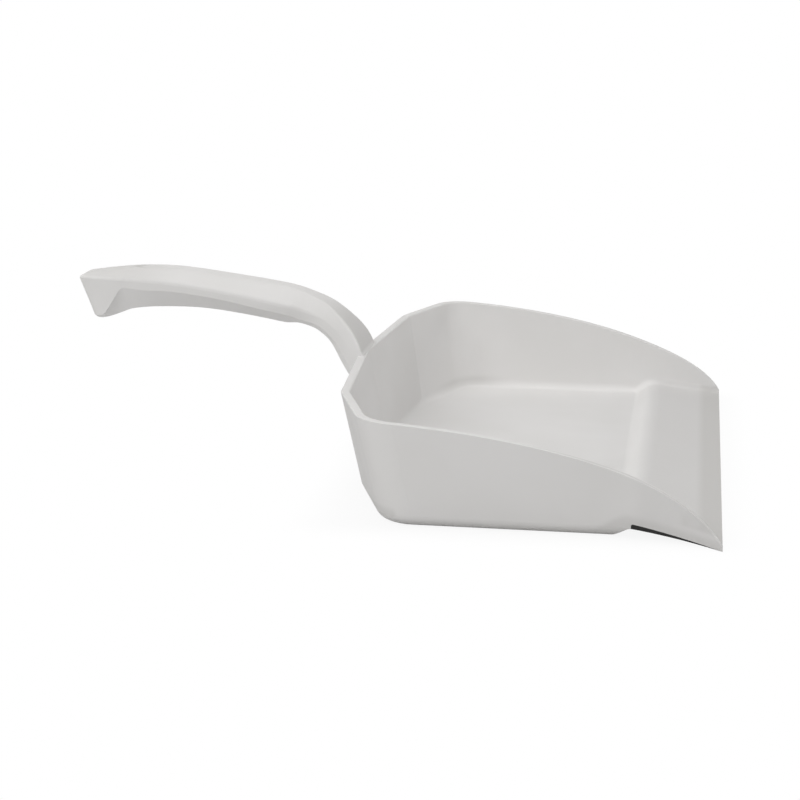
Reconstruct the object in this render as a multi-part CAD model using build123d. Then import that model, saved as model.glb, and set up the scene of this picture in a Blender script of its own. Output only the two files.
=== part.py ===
from build123d import *
from math import cos, radians, sin, sqrt, tan
import os

# Overall sizes, in millimetres: the lip points along +X, the handle along -X, and the base lies at Z = 0. The
# width of the lip is taken at its foot
lip_x = 164.5
heel_x = -167.2
lip_width = 294.5

# Pan: plan of one half of the rim, with the angles at which the walls lean outward
rim_height = 51.4
back_apex_x = -20.5
back_corner = (-13.4, 92.2)
back_corner_radius = 9.0
rear_corner = (5.0, 144.6)
rear_corner_radius = 20.0
side_draft = 10.6
back_draft = 10.9
corner_draft = 12.9
flare_start_x = 114.0

# Pan: walls, floor, the rounds between them and the bevel of the rim
side_wall = 3.2
lip_wall = 2.2
back_wall = 4.2
floor_top = 2.8
outer_bottom_radius = 7.0
inner_bottom_radius = 4.5
rim_bevel = 0.45

# Rim seen from the side: nearly level at the back, then one sweep down to the lip
rim_sweep_start = (back_apex_x - 1.0, rim_height)
rim_sweep_pulls = ((77.0, 51.9), (150.0, 28.7))
rim_sweep_end = (lip_x, 2.0)

# Lip: the floor jogs up to a crest, then ramps down to a bevelled edge
crest_x = 125.0
crest_top = 8.2
bevel_x = 156.0
bevel_top = 2.6
lip_edge = 0.6
jog_angle = 39.0
jog_foot_radius = 6.0
crest_radius = 10.0
bevel_radius = 12.0

# Underside of the lip, and the rubber strip let into it
underside_x = 123.8
underside_top = 5.0
underside_angle = 32.0
underside_foot_radius = 6.0
underside_valley_radius = 4.0
strip_back_x = 124.6
strip_front_x = 151.0
strip_back_thickness = 2.2
strip_front_thickness = 0.2
strip_back_round = 0.8

# Handle: sections from its heel to its root in the back wall. The columns are the foot and the crown in side
# view (X, Z), the half width of the keel, the half width and rise of the waist and of the shoulder, the half
# width of the brow, and the rounds of shoulder and brow. The turning stations, counted from 0 at the heel, are
# those after which the handle turns or swells quickly
handle_stations = [
    (-160.5, 66.4, heel_x, 86.9, 3.6, 5.6, 1.3, 9.0, 21.0, 7.2, 0.4, 1.5),
    (-159.9, 65.3, -166.4, 87.5, 4.5, 7.0, 1.6, 9.8, 22.3, 6.6, 0.6, 2.0),
    (-158.8, 64.9, -165.0, 88.1, 4.8, 8.1, 1.7, 10.3, 22.7, 6.1, 0.8, 3.0),
    (-157.2, 64.8, -162.5, 88.6, 5.2, 9.2, 1.9, 10.9, 22.7, 5.7, 1.1, 4.0),
    (-154.0, 65.3, -157.5, 89.4, 5.5, 10.4, 2.4, 11.6, 21.9, 5.5, 1.5, 6.0),
    (-149.5, 66.7, -150.5, 90.4, 5.8, 11.6, 6.8, 12.4, 20.5, 5.4, 2.0, 8.0),
    (-144.0, 68.8, -144.0, 91.1, 6.0, 12.4, 12.8, 13.2, 18.4, 5.5, 2.2, 8.0),
    (-138.0, 70.6, -138.0, 91.6, 6.0, 13.2, 11.2, 13.9, 16.6, 5.7, 2.5, 9.0),
    (-122.0, 71.9, -122.0, 91.9, 6.0, 15.2, 9.7, 16.0, 15.2, 6.0, 2.8, 10.0),
    (-104.0, 71.9, -104.0, 90.4, 6.0, 16.6, 8.4, 17.1, 13.5, 6.2, 2.8, 10.0),
    (-86.0, 70.1, -86.0, 88.1, 6.2, 17.0, 7.5, 17.5, 12.6, 6.2, 2.8, 9.0),
    (-70.0, 67.7, -70.0, 86.0, 6.6, 16.8, 6.4, 17.5, 12.0, 5.9, 2.8, 8.0),
    (-57.5, 65.9, -55.5, 83.6, 8.0, 15.4, 5.4, 16.6, 10.7, 5.5, 2.8, 5.0),
    (-51.2, 66.5, -45.7, 80.4, 10.6, 13.6, 2.5, 13.9, 7.6, 6.2, 2.5, 2.5),
    (-42.0, 64.0, -34.9, 75.0, 11.4, 13.0, 2.2, 12.4, 6.3, 8.6, 2.1, 2.0),
    (-34.1, 57.5, -23.8, 64.9, 11.7, 13.4, 2.0, 13.6, 6.3, 13.1, 2.1, 1.5),
    (-28.8, 48.4, -17.9, 55.6, 12.8, 14.4, 2.6, 15.6, 7.0, 16.8, 2.1, 1.2),
    (-23.6, 40.0, -14.0, 44.0, 13.8, 15.5, 2.4, 17.0, 6.0, 18.0, 1.4, 1.0),
    (-15.2, 28.5, -10.5, 30.0, 16.0, 17.0, 1.2, 18.0, 3.0, 19.0, 0.4, 0.5),
]
turning_stations = (4, 5, 6, 11, 12, 13, 14, 15, 16, 17)
thumb_dish_x = -126.0
thumb_dish_length_radius = 97.0
thumb_dish_width_radius = 15.6
thumb_dish_bottom = 91.0

# Room beyond the pan for cutting shapes, and the least length that counts as more than nothing
beyond = 40.0
margin = 10.0
top_z = 66.0
hair = 0.1


def wall_plane(point, way, draft, inset):
    """Face of a wall that stands on a line of the rim's plan, set inward from it, and leans outward."""
    size = sqrt(way[0] ** 2 + way[1] ** 2)
    out_x = -way[1] / size
    out_y = way[0] / size
    lean = radians(draft)
    start = (point[0] - inset * out_x, point[1] - inset * out_y, rim_height)
    return Plane(start, z_dir=(out_x * cos(lean), out_y * cos(lean), -sin(lean)))


def flare_cone(low_z, high_z, side_inset, lip_inset):
    """Upright cone that the side wall swings out around, from its straight part to the end of the lip."""
    slope = tan(radians(side_draft))
    foot_y = rear_corner[1] - side_inset - rim_height * slope
    run = lip_x - flare_start_x
    rise = lip_width / 2 - lip_inset - foot_y
    radius = (run**2 + rise**2) / (2 * rise)
    standing = (Align.CENTER, Align.CENTER, Align.MIN)
    cone = Cone(radius - low_z * slope, radius - high_z * slope, high_z - low_z, align=standing)
    return Pos(flare_start_x, foot_y + radius, low_z) * cone


def upright_edge(block, place):
    """One of the edges between a block's walls, counted from the back."""
    height = block.bounding_box().size.Z
    uprights = [edge for edge in block.edges() if edge.bounding_box().size.Z > height - hair]
    return ShapeList(uprights).sort_by(Axis.X)[place]


def pan_block(low_z, high_z, side_inset, lip_inset, back_inset, front_x):
    """Half of the pan as a block: V-shaped back, angled corner, straight side and flared front, all leaning."""
    back_way = (back_corner[0] - back_apex_x, back_corner[1])
    corner_way = (rear_corner[0] - back_corner[0], rear_corner[1] - back_corner[1])
    back = wall_plane((back_apex_x, 0.0), back_way, back_draft, back_inset)
    corner = wall_plane(back_corner, corner_way, corner_draft, back_inset)
    side = wall_plane(rear_corner, (1.0, 0.0), side_draft, side_inset)

    start_x = back_apex_x - beyond
    box = Box(front_x - start_x, lip_width / 2 + beyond, high_z - low_z, align=Align.MIN)
    block = Pos(start_x, 0.0, low_z) * box
    block = split(block, back, Keep.BOTTOM)
    block = split(block, corner, Keep.BOTTOM)
    flare_start = Plane.YZ.offset(flare_start_x)
    straight = split(split(block, flare_start, Keep.BOTTOM), side, Keep.BOTTOM)
    flared = split(block, flare_start, Keep.TOP) - flare_cone(low_z, high_z, side_inset, lip_inset)
    block = straight + flared
    block = fillet(upright_edge(block, 2), rear_corner_radius - side_inset)
    return fillet(upright_edge(block, 1), back_corner_radius - back_inset)


def side_prism(line, *corners):
    """Side view outline, a line closed through more corners, carried across half the pan and beyond."""
    closing = Polyline(line @ 1, *corners, line @ 0)
    outline = make_face([*line.edges(), *closing.edges()])
    return extrude(Plane.XZ * outline, -(lip_width / 2 + beyond))


def wall_edges(edges):
    """Those of some edges that run along the walls, without the open middle and front of half a pan."""
    found = []
    for edge in edges:
        box = edge.bounding_box()
        if box.max.Y > hair and box.size.X > hair:
            found.append(edge)
    return found


def foot_edges(solid, highest):
    """Edges where the walls of half a pan stand on its bottom."""
    return wall_edges([edge for edge in solid.edges() if edge.bounding_box().max.Z < highest + hair])


def underside_z(x):
    """Height of the lip's underside, which falls from its valley to the edge of the lip."""
    return underside_top * (lip_x - x) / (lip_x - underside_x)


def outer_half():
    """Half of the pan as a solid block: a tub with a rounded bottom, and the lip with its raised underside."""
    tub = pan_block(0.0, top_z, 0.0, 0.0, 0.0, underside_x)
    tub = fillet(foot_edges(tub, 0.0), outer_bottom_radius)
    lip = split(pan_block(0.0, top_z, 0.0, 0.0, 0.0, lip_x), Plane.YZ.offset(underside_x), Keep.TOP)
    foot_x = underside_x - underside_top / tan(radians(underside_angle))
    line = FilletPolyline(
        (foot_x - beyond, 0.0),
        (foot_x, 0.0),
        (underside_x, underside_top),
        (lip_x + beyond, underside_z(lip_x + beyond)),
        radius=(underside_foot_radius, underside_valley_radius),
    )
    return tub + lip - side_prism(line, (lip_x + beyond, -beyond), (foot_x - beyond, -beyond))


def hollow_half():
    """Half of the room inside the pan, with the floor, crest, ramp and bevel as its bottom."""
    room = pan_block(-margin, top_z + margin, side_wall, lip_wall, back_wall, lip_x + margin)
    jog_x = crest_x - (crest_top - floor_top) / tan(radians(jog_angle))
    bevel_fall = (bevel_top - lip_edge) / (lip_x - bevel_x)
    floor = FilletPolyline(
        (back_apex_x - beyond, floor_top),
        (jog_x, floor_top),
        (crest_x, crest_top),
        (bevel_x, bevel_top),
        (lip_x + beyond, lip_edge - bevel_fall * beyond),
        radius=(jog_foot_radius, crest_radius, bevel_radius),
    )
    room -= side_prism(floor, (lip_x + beyond, -beyond), (back_apex_x - beyond, -beyond))
    return fillet(foot_edges(room, crest_top), inner_bottom_radius)


def strip_half(outer):
    """Half of the rubber strip: a wedge under the ramp, rounded at its thick edge, flush with the pan."""
    back_z = underside_z(strip_back_x)
    front_z = underside_z(strip_front_x)
    wedge = FilletPolyline(
        (strip_back_x, back_z - strip_back_thickness),
        (strip_back_x, back_z + strip_back_thickness),
        (strip_front_x, front_z + strip_front_thickness),
        radius=strip_back_round,
    )
    return side_prism(wedge, (strip_front_x, front_z - strip_back_thickness)) & outer


def rimmed(half):
    """Half a pan cut down to the sweep of its rim, with the rim's two edges bevelled."""
    sweep = Bezier(rim_sweep_start, *rim_sweep_pulls, rim_sweep_end)
    half -= side_prism(
        sweep,
        (lip_x + beyond, rim_sweep_end[1]),
        (lip_x + beyond, top_z + beyond),
        (back_apex_x - beyond, top_z + beyond),
        (back_apex_x - beyond, rim_height),
    )
    rim = half.faces().sort_by(Axis.Z)[-1]
    return chamfer(wall_edges(rim.edges()), rim_bevel)


def handle_section(
    foot_x, foot_z, crown_x, crown_z, keel, waist, waist_rise, shoulder, shoulder_rise, brow, *rounds
):
    """Section of the handle: keel, slanted flanks up to the waist, side bands, round shoulders and brow."""
    lean = crown_x - foot_x
    rise = crown_z - foot_z
    height = sqrt(lean**2 + rise**2)
    half = [(keel, 0.0), (waist, waist_rise), (shoulder, shoulder_rise), (brow, height)]
    other = [(-y, z) for y, z in reversed(half)]
    radii = [0.0, 0.0, *rounds]
    outline = make_face(FilletPolyline(*half, *other, radius=[*radii, *reversed(radii)], close=True))
    return Plane((foot_x, 0.0, foot_z), x_dir=(0, 1, 0), z_dir=(rise, 0.0, -lean)) * outline


def halfway(before, start, end, after):
    """Value halfway between two neighbours in a row of values, on a smooth curve through the row."""
    return (9 * (start + end) - before - after) / 16


def handle_loft():
    """Handle as one smooth skin over its stations, with sections halfway between those where it turns."""
    last = len(handle_stations) - 1
    sections = [handle_section(*handle_stations[0])]
    for index in range(last):
        if index in turning_stations:
            neighbours = (index - 1, index, index + 1, min(index + 2, last))
            columns = zip(*[handle_stations[place] for place in neighbours])
            sections.append(handle_section(*[halfway(*column) for column in columns]))
        sections.append(handle_section(*handle_stations[index + 1]))
    return loft(sections)


def whole(half):
    """Both halves of a piece that is alike on both sides."""
    return half + mirror(half, Plane.XZ)


# Pan: one drafted block hollowed out, with the rebate for the strip under its lip
outer = outer_half()
hollow = hollow_half()
strip = strip_half(outer)
pan = whole(rimmed(outer - hollow) - strip)

# Handle: grown out of the pan's back wall, with a shallow dish for the thumb
handle = handle_loft()
thumb_ring = Torus(thumb_dish_length_radius - thumb_dish_width_radius, thumb_dish_width_radius)
handle -= Pos(thumb_dish_x, 0.0, thumb_dish_bottom + thumb_dish_length_radius) * Rot(90, 0, 0) * thumb_ring
pan_and_handle = pan + (handle - whole(hollow))

# Rubber strip along the whole lip
lip_strip = whole(strip)

# The part stands on the middle of its length
centred = Pos(-(lip_x + heel_x) / 2, 0.0, 0.0)
os.makedirs("parts", exist_ok=True)
export_step(centred * pan_and_handle, "parts/pan_and_handle.step")
export_step(centred * lip_strip, "parts/lip_strip.step")
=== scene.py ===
from math import cos, radians, sin
import bpy
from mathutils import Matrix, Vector

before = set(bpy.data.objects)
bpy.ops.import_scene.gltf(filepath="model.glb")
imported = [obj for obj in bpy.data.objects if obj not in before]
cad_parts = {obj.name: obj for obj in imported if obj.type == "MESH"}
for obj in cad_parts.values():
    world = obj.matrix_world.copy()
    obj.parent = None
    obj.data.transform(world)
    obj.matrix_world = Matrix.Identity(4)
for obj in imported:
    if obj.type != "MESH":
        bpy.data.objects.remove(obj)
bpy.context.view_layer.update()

# The pan and its handle are one moulding in white polypropylene, with the satin, finely grained skin of a
# spark-eroded mould. Floors scuff its base. Painted shade greys the lip, the bevel, the foot of the outer
# walls, the rim near the lip, the rear corners inside, the thumb rest and the stem, and the top of the heel
# is a little greyer. At both ends of the strip under the lip, a film of the strip's rubber thins out over
# the white.
MM = 0.001
MOULDING_WHITE = (0.72, 0.71, 0.70, 1.0)
MOULDING_SHADED = (0.68, 0.67, 0.655, 1.0)
# Painted shade: a grey for the lip's outer sides, and a darker one for its ramp
MOULDING_LIP_SHADE = (0.66, 0.65, 0.64, 1.0)
MOULDING_RAMP_SHADE = (0.60, 0.59, 0.58, 1.0)
# Grey for the scuffs at the base, and also for painted shade and for the grey tone on the heel
MOULDING_SCUFF_AND_SHADE = (0.56, 0.55, 0.535, 1.0)
RUBBER_DARK = (0.030, 0.030, 0.029, 1.0)
MIX_SHARE, MIX_FIRST, MIX_SECOND, MIX_RESULT = 0, 6, 7, 2


class Wire:
    """One socket of a finish. Sums, differences and products of wires add the nodes that work them out."""

    def __init__(self, tree, socket=None):
        self.tree = tree
        self.socket = socket

    def node(self, kind, settings, inputs, output=0):
        """Adds a node of a kind, sets it up, feeds its sockets, and gives one of its outputs."""
        made = self.tree.nodes.new("ShaderNode" + kind)
        for name, value in settings.items():
            setattr(made, name, value)
        for name, value in inputs.items():
            if isinstance(value, Wire):
                self.tree.links.new(value.socket, made.inputs[name])
            else:
                made.inputs[name].default_value = value
        return Wire(self.tree, made.outputs[output] if made.outputs else None)

    def math(self, operation, first, second):
        """Adds a Math node."""
        return self.node("Math", {"operation": operation}, {0: first, 1: second})

    def __add__(self, other):
        return self.math("ADD", self, other)

    __radd__ = __add__

    def __sub__(self, other):
        return self.math("SUBTRACT", self, other)

    def __rsub__(self, other):
        return self.math("SUBTRACT", other, self)

    def __mul__(self, other):
        return self.math("MULTIPLY", self, other)

    __rmul__ = __mul__


def new_finish(name):
    """An empty material, and the wire that its nodes start from."""
    finish = bpy.data.materials.new(name)
    finish.use_nodes = True
    finish.node_tree.nodes.clear()
    return finish, Wire(finish.node_tree)


def noise(place, size, detail=2.0):
    """Soft noise from 0 to 1 with patches of a size, or of a length, width and height."""
    sizes = size if isinstance(size, tuple) else (size, size, size)
    scale = tuple(1 / side for side in sizes)
    scaled = place.node("Mapping", {}, {"Vector": place, "Scale": scale})
    return scaled.node("TexNoise", {}, {"Vector": scaled, "Scale": 1.0, "Detail": detail})


def mixed(share, first, second):
    """A colour between two others."""
    inputs = {MIX_SHARE: share, MIX_FIRST: first, MIX_SECOND: second}
    return share.node("Mix", {"data_type": "RGBA"}, inputs, MIX_RESULT)


def positive(wire):
    """What a wire has above 0."""
    return wire.math("MAXIMUM", wire, 0.0)


def fade(wire, start, full):
    """0 up to start and 1 from full on, with a smooth rise between them."""
    settings = {"interpolation_type": "SMOOTHSTEP"}
    return wire.node("MapRange", settings, {"Value": wire, "From Min": start, "From Max": full})


def fall(wire, last, end):
    """1 up to last and 0 from end on."""
    return 1 - fade(wire, last, end)


def band(wire, start, full, last, end):
    """1 from full to last, and 0 up to start and from end on."""
    return fade(wire, start, full) * fall(wire, last, end)


def mm(*sizes):
    """Millimetres as metres."""
    return tuple(size * MM for size in sizes)


# The side walls lean out, are rounded at the foot, and flare toward the lip
WALL_MIDDLE = 133.5 * MM
WALL_LEAN = 0.187
WALL_SKIN = mm(-0.5, 0.5)
ROUND_HEIGHT = 5.2 * MM
ROUND_LEAN = 0.74
FLARE_START = 115.3 * MM
FLARE_RADIUS = 99 * MM


def beyond_wall(length, aside, height):
    """Distance out from the middle of the side walls' thickness."""
    flare = positive(length - FLARE_START)
    wall = WALL_MIDDLE + flare * flare * (0.5 / FLARE_RADIUS) + height * WALL_LEAN
    return aside - wall + positive(ROUND_HEIGHT - height) * ROUND_LEAN


# Painted shade lies at the foot of the walls in the rear corners
CORNER_ASIDE = mm(95, 125)
CORNER_LENGTH = mm(25, 50)
CORNER_HEIGHT = mm(2.8, 4.3, 6, 10)


def rear_corner(length, aside, height):
    """1 where the painted shade in the rear corners lies."""
    return fade(aside, *CORNER_ASIDE) * fall(length, *CORNER_LENGTH) * band(height, *CORNER_HEIGHT)


# The thumb rest has painted shade along its edge, at the end toward the heel
THUMB_MIDDLE = -124.6 * MM
THUMB_LENGTH = 13 * MM
THUMB_WIDTH = 6 * MM
THUMB_RING = (0.4, 0.8, 0.9, 1.3)
THUMB_HEEL = (-0.8, -0.3)
THUMB_HEIGHT = mm(85, 86)


def thumb_edge(length, width, height):
    """1 where the painted shade in the thumb rest lies."""
    along = (length - THUMB_MIDDLE) * (1 / THUMB_LENGTH)
    beside = width * (1 / THUMB_WIDTH)
    ring = band(along * along + beside * beside, *THUMB_RING)
    return ring * fall(along, *THUMB_HEEL) * fade(height, *THUMB_HEIGHT)


# The handle's stem bends up from the rim, and painted shade lies on the face that looks over the pan
STEM_FOOT = mm(-14.7, 50)
STEM_LEAN = 0.183
STEM_BEND = 22 * MM
STEM_SKIN = mm(-0.9, -0.3)
STEM_ASIDE = mm(18, 19.8)
STEM_RISE = mm(2, 4, 17, 27)


def stem_face(length, aside, height):
    """1 where the painted shade on the stem lies."""
    rise = height - STEM_FOOT[1]
    face = STEM_FOOT[0] - rise * STEM_LEAN - rise * rise * (0.5 / STEM_BEND)
    return fade(length - face, *STEM_SKIN) * fall(aside, *STEM_ASIDE) * band(rise, *STEM_RISE)


# The film of rubber has a straight upper edge, from a rounded corner behind the lip down to the lip's edge
FILM_START = 125.95 * MM
FILM_END = mm(159.35, 1.2)
FILM_RISE = 0.184
FILM_ROUND = 1.0 * MM
FILM_EDGE = 0.1 * MM


def rubber_film(length, height, film_top):
    """1 under the film's upper edge and forward of its rounded corner."""
    down = positive(FILM_ROUND - (film_top - height))
    back = positive(FILM_ROUND - (length - FILM_START))
    return fall(down * down + back * back, (FILM_ROUND - FILM_EDGE) ** 2, FILM_ROUND**2)


# What the whole moulding shows: its grain, its swells, its scuffs and its painted shade
MOULDING_ROUGHNESS = 0.80
MOULDING_SHINE = 0.05
GRAIN_SIZE = 0.5 * MM
GRAIN_DEPTH = 0.012 * MM
GRAIN_ROUGHNESS = 0.10
SWELL_SIZE = 45 * MM
SWELL_DEPTH = 0.05 * MM
SWELL_ROUGHNESS = 0.08
SWELL_SHADED = (0.3, 0.7)
SHADED_SHARE = 0.5
STREAK_SIZE = mm(25, 0.4, 0.4)
STREAK_DETAIL = 3.0
SCUFF_STREAKS = (0.5, 0.75)
SCUFF_HEIGHT = mm(0.3, 1.5)
SCUFF_ROUGHNESS = 0.15
# Where the painted shade on the lip begins, and how even it is along its streaks
LIP_SHADE_LENGTH = mm(124, 134)
LIP_SHADE_EVENLY = 0.6
VALLEY_LENGTH = (108 * MM, FILM_START)
RAMP_ABOVE = mm(2, 5)
BEVEL_LENGTH = mm(153, 158)
FOOT_LENGTH = mm(0, 30)
FOOT_ABOVE = mm(1.5, 5.5)
RIM_LENGTH = mm(60, 110)
RIM_ABOVE = mm(5, 7.5)
RIM_ACROSS = mm(-0.5, 0, 1, 1.3)
HEEL_LENGTH = mm(-140, -105)
HEEL_HEIGHT = mm(86.5, 88)

# Amounts of grey: real scuffs at the base, painted shade at the other places, a grey tone on the heel
SCUFF_DIRT = 0.6
BEVEL_PAINTED_SHADE = 0.9
FOOT_PAINTED_SHADE = 0.5
CORNER_PAINTED_SHADE = 0.4
RIM_PAINTED_SHADE = 0.6
HEEL_GREY = 0.4
THUMB_PAINTED_SHADE = 0.6
STEM_PAINTED_SHADE = 0.55


def white_moulding():
    """Satin white plastic with grain, swells and scuffs, and with painted shade on the lip, walls, rim and
    handle.
    """
    finish, start = new_finish("white_moulding")
    place = start.node("TexCoord", {}, {}, "Object")
    length, width, height = [place.node("SeparateXYZ", {}, {"Vector": place}, side) for side in "XYZ"]
    aside = width.math("ABSOLUTE", width, 0.0)
    grain = noise(place, GRAIN_SIZE)
    swell = noise(place, SWELL_SIZE)
    streak = noise(place, STREAK_SIZE, STREAK_DETAIL)

    across = beyond_wall(length, aside, height)
    outside = fade(across, *WALL_SKIN)
    film_top = FILM_END[1] + (FILM_END[0] - length) * FILM_RISE
    above = height - film_top * fade(length, *VALLEY_LENGTH)
    # Streaky painted shade toward the lip
    lip_shade = fade(length, *LIP_SHADE_LENGTH) * (LIP_SHADE_EVENLY + (1 - LIP_SHADE_EVENLY) * streak)
    ramp = (1 - outside) * fall(above, *RAMP_ABOVE)
    scuff = fade(streak, *SCUFF_STREAKS) * fall(height, *SCUFF_HEIGHT)

    # Scuffs at the base, painted shade at the bevel, foot, rim, rear corners, thumb rest and stem
    scuffs_and_shade = SCUFF_DIRT * scuff
    # Painted shade on the bevel at the lip's edge
    scuffs_and_shade = scuffs_and_shade + BEVEL_PAINTED_SHADE * ramp * fade(length, *BEVEL_LENGTH)
    # Painted shade at the foot of the outer walls, climbing into the valley behind the lip
    scuffs_and_shade = scuffs_and_shade + FOOT_PAINTED_SHADE * outside * fade(length, *FOOT_LENGTH) * fall(above, *FOOT_ABOVE)
    # Painted shade on the rim's top near the lip
    scuffs_and_shade = scuffs_and_shade + RIM_PAINTED_SHADE * band(across, *RIM_ACROSS) * fade(length, *RIM_LENGTH) * fade(above, *RIM_ABOVE)
    # A grey tone on the top of the heel
    scuffs_and_shade = scuffs_and_shade + HEEL_GREY * fall(length, *HEEL_LENGTH) * fade(height, *HEEL_HEIGHT)
    # Painted shade at the foot of the walls in the rear corners, inside
    scuffs_and_shade = scuffs_and_shade + CORNER_PAINTED_SHADE * (1 - outside) * rear_corner(length, aside, height)
    # Painted shade along the thumb rest's edge
    scuffs_and_shade = scuffs_and_shade + THUMB_PAINTED_SHADE * thumb_edge(length, width, height)
    # Painted shade on the stem's face over the pan
    scuffs_and_shade = scuffs_and_shade + STEM_PAINTED_SHADE * stem_face(length, aside, height)

    colour = mixed(fade(swell, *SWELL_SHADED) * SHADED_SHARE, MOULDING_WHITE, MOULDING_SHADED)
    # Painted shade on the lip's outer sides and, darker, on its ramp
    colour = mixed(lip_shade * outside, colour, MOULDING_LIP_SHADE)
    colour = mixed(lip_shade * ramp, colour, MOULDING_RAMP_SHADE)
    colour = mixed(scuffs_and_shade, colour, MOULDING_SCUFF_AND_SHADE)
    colour = mixed(rubber_film(length, height, film_top) * outside, colour, RUBBER_DARK)

    uneven = (grain - 0.5) * GRAIN_ROUGHNESS + (swell - 0.5) * SWELL_ROUGHNESS
    roughness = MOULDING_ROUGHNESS + uneven + scuff * SCUFF_ROUGHNESS
    relief = grain * GRAIN_DEPTH + swell * SWELL_DEPTH - scuff * GRAIN_DEPTH
    normal = relief.node("Bump", {}, {"Height": relief, "Distance": 1.0})
    inputs = {"Base Color": colour, "Roughness": roughness, "Normal": normal}
    inputs["Specular IOR Level"] = MOULDING_SHINE
    shader = start.node("BsdfPrincipled", {}, inputs)
    start.node("OutputMaterial", {}, {"Surface": shader})
    return finish


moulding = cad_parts["pan_and_handle"]
moulding.material_slots[0].material = white_moulding()

# The strip under the lip is dark rubber, moulded into a rebate of the pan so that it lies flush and seals
# on the floor. It is matt, a little mottled, and greyed by dust along the way it is pushed.
RUBBER_DUSTED = (0.060, 0.059, 0.056, 1.0)
RUBBER_ROUGHNESS = 0.62
RUBBER_SHINE = 0.10
RUBBER_GRAIN_SIZE = 0.35 * MM
RUBBER_GRAIN_DEPTH = 0.02 * MM
RUBBER_GRAIN_ROUGHNESS = 0.15
DUST_STREAKS = (0.45, 0.8)
DUST_SHARE = 0.7
DUST_ROUGHNESS = 0.12


def dark_rubber():
    """Matt rubber with a coarse grain and dusty streaks."""
    finish, start = new_finish("dark_rubber")
    place = start.node("TexCoord", {}, {}, "Object")
    grain = noise(place, RUBBER_GRAIN_SIZE)
    dust = fade(noise(place, STREAK_SIZE, STREAK_DETAIL), *DUST_STREAKS)

    colour = mixed(dust * DUST_SHARE, RUBBER_DARK, RUBBER_DUSTED)
    roughness = RUBBER_ROUGHNESS + (grain - 0.5) * RUBBER_GRAIN_ROUGHNESS + dust * DUST_ROUGHNESS
    relief = grain * RUBBER_GRAIN_DEPTH
    normal = relief.node("Bump", {}, {"Height": relief, "Distance": 1.0})
    inputs = {"Base Color": colour, "Roughness": roughness, "Normal": normal}
    inputs["Specular IOR Level"] = RUBBER_SHINE
    shader = start.node("BsdfPrincipled", {}, inputs)
    start.node("OutputMaterial", {}, {"Surface": shader})
    return finish


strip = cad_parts["lip_strip"]
strip.material_slots[0].material = dark_rubber()

# The floor is a wide white sheet that the pan stands on. It keeps a faint shadow close around the foot of
# the pan, and further out it runs into the white of the background.
FLOOR_SIZE = 60.0
FLOOR_DROP = 0.05 * MM
FLOOR_PALE = (0.75, 0.75, 0.75, 1.0)
PURE_WHITE = (1.0, 1.0, 1.0, 1.0)
SHADOW_MIDDLE = (75 * MM, 0.0, 0.0)
SHADOW_HALF = (80 * MM, 130 * MM, 1.0)
SHADOW_SHARE = 0.10
SHADOW_REACH = 30 * MM


def seen_directly(start):
    """1 on rays from the camera or sent on by mirrors and clear pieces, and 0 on light's own way."""
    camera = start.node("LightPath", {}, {}, "Is Camera Ray")
    glossy = start.node("LightPath", {}, {}, "Is Glossy Ray")
    through = start.node("LightPath", {}, {}, "Is Transmission Ray")
    either = camera.math("MAXIMUM", camera, glossy)
    return either.math("MAXIMUM", either, through)


def white_floor():
    """White sheet whose shadow fades out around the pan."""
    finish, start = new_finish("white_floor")
    place = start.node("TexCoord", {}, {}, "Object")
    offset = place.node("VectorMath", {"operation": "SUBTRACT"}, {0: place, 1: SHADOW_MIDDLE})
    offset = place.node("VectorMath", {"operation": "ABSOLUTE"}, {0: offset})
    beside = place.node("VectorMath", {"operation": "SUBTRACT"}, {0: offset, 1: SHADOW_HALF})
    beside = place.node("VectorMath", {"operation": "MAXIMUM"}, {0: beside, 1: (0.0, 0.0, 0.0)})
    away = place.node("VectorMath", {"operation": "LENGTH"}, {0: beside}, "Value")
    plain = 1 - SHADOW_SHARE * fall(away, 0.0, SHADOW_REACH)
    sheet = start.node("BsdfDiffuse", {}, {"Color": FLOOR_PALE})
    glow = start.node("Emission", {}, {"Color": PURE_WHITE, "Strength": 1.0})
    shader = start.node("MixShader", {}, {0: seen_directly(start) * plain, 1: sheet, 2: glow})
    start.node("OutputMaterial", {}, {"Surface": shader})
    return finish


bpy.ops.object.select_all(action="DESELECT")
bpy.ops.mesh.primitive_plane_add(size=FLOOR_SIZE, location=(0, 0, -FLOOR_DROP))
floor = bpy.context.object
floor.name = "floor"
floor.data.materials.append(white_floor())

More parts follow.
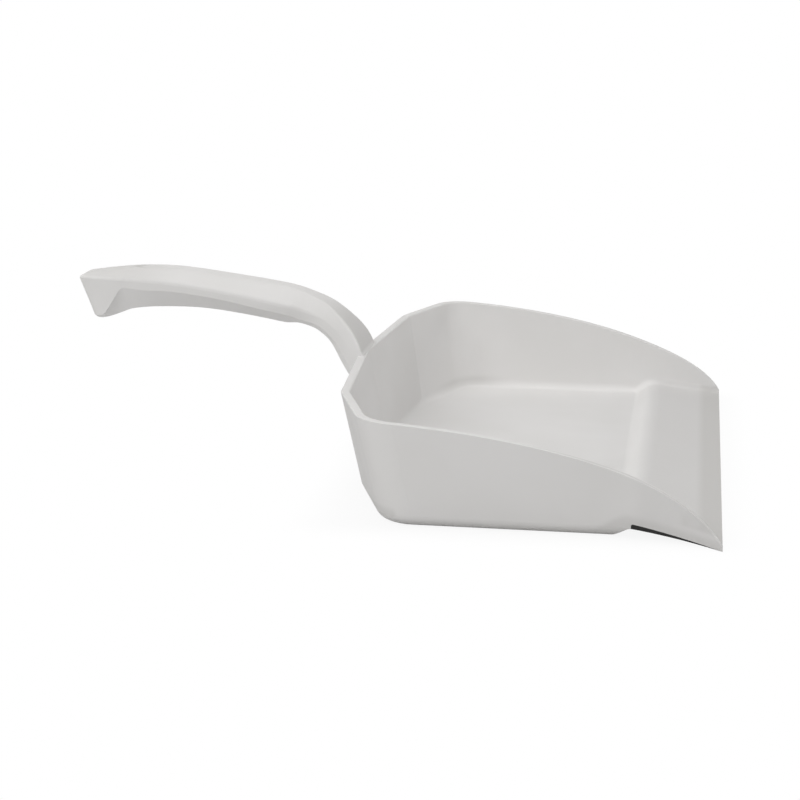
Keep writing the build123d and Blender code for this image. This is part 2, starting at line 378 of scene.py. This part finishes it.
# The light is that of a white studio: soft lamps overhead, high on the front left, in front and far behind
# the handle, two smaller ones low at the lip and at its far corner, and an even glow. Turns are counted
# from the near side toward the lip.
GLOW = 0.15
LAMP_DISTANCE = 2.5
LAMPS = {
    "top_lamp": {"turn": 0, "rise": 90, "size": 1.5, "power": 25.5},
    "key_lamp": {"turn": -45, "rise": 45, "size": 1.5, "power": 22.8},
    "front_lamp": {"turn": 0, "rise": 25, "size": 1.2, "power": 14.2},
    "lip_lamp": {"turn": 90, "rise": 8, "size": 0.6, "power": 12.6},
    "far_lip_lamp": {"turn": 135, "rise": 8, "size": 0.6, "power": 5.5},
    "back_lamp": {"turn": -135, "rise": 25, "size": 1.2, "power": 10.2},
}


def studio_glow():
    """Even grey light on the object, before a background that shows white."""
    world = bpy.data.worlds.new("studio")
    world.use_nodes = True
    world.node_tree.nodes.clear()
    start = Wire(world.node_tree)
    light = start.node("Background", {}, {"Color": PURE_WHITE, "Strength": GLOW})
    backdrop = start.node("Background", {}, {"Color": PURE_WHITE, "Strength": 1.0})
    shader = start.node("MixShader", {}, {0: seen_directly(start), 1: light, 2: backdrop})
    start.node("OutputWorld", {}, {"Surface": shader})
    return world


def way_to(turn, rise):
    """Direction in which something stands, seen from the pan."""
    level = cos(radians(rise))
    return Vector((sin(radians(turn)) * level, -cos(radians(turn)) * level, sin(radians(rise))))


def soft_lamp(name, turn, rise, size, power):
    """Square lamp that faces the middle of the pan."""
    way = way_to(turn, rise)
    bpy.ops.object.light_add(type="AREA", location=way * LAMP_DISTANCE)
    lamp = bpy.context.object
    lamp.name = name
    lamp.rotation_euler = (-way).to_track_quat("-Z", "Y").to_euler()
    lamp.data.size = size
    lamp.data.energy = power


bpy.context.scene.world = studio_glow()
for lamp_name, values in LAMPS.items():
    soft_lamp(lamp_name, **values)

# The camera stands on the near side of the pan, a little toward the lip, and looks down on it.
CAMERA_TARGET = Vector((1.261, 0.0, 25.129)) * MM
CAMERA_TURN = 9.185
CAMERA_RISE = 13.846
CAMERA_DISTANCE = 957.43 * MM
FOCAL_PIXELS = 1850.0
PICTURE_PIXELS = 800.0
SENSOR = 36.0

way = way_to(CAMERA_TURN, CAMERA_RISE)
bpy.ops.object.camera_add(location=CAMERA_TARGET + way * CAMERA_DISTANCE)
camera = bpy.context.object
camera.rotation_euler = (-way).to_track_quat("-Z", "Y").to_euler()
camera.data.sensor_width = SENSOR
camera.data.lens = FOCAL_PIXELS / PICTURE_PIXELS * SENSOR
bpy.context.scene.camera = camera
bpy.context.scene.view_settings.view_transform = "Standard"
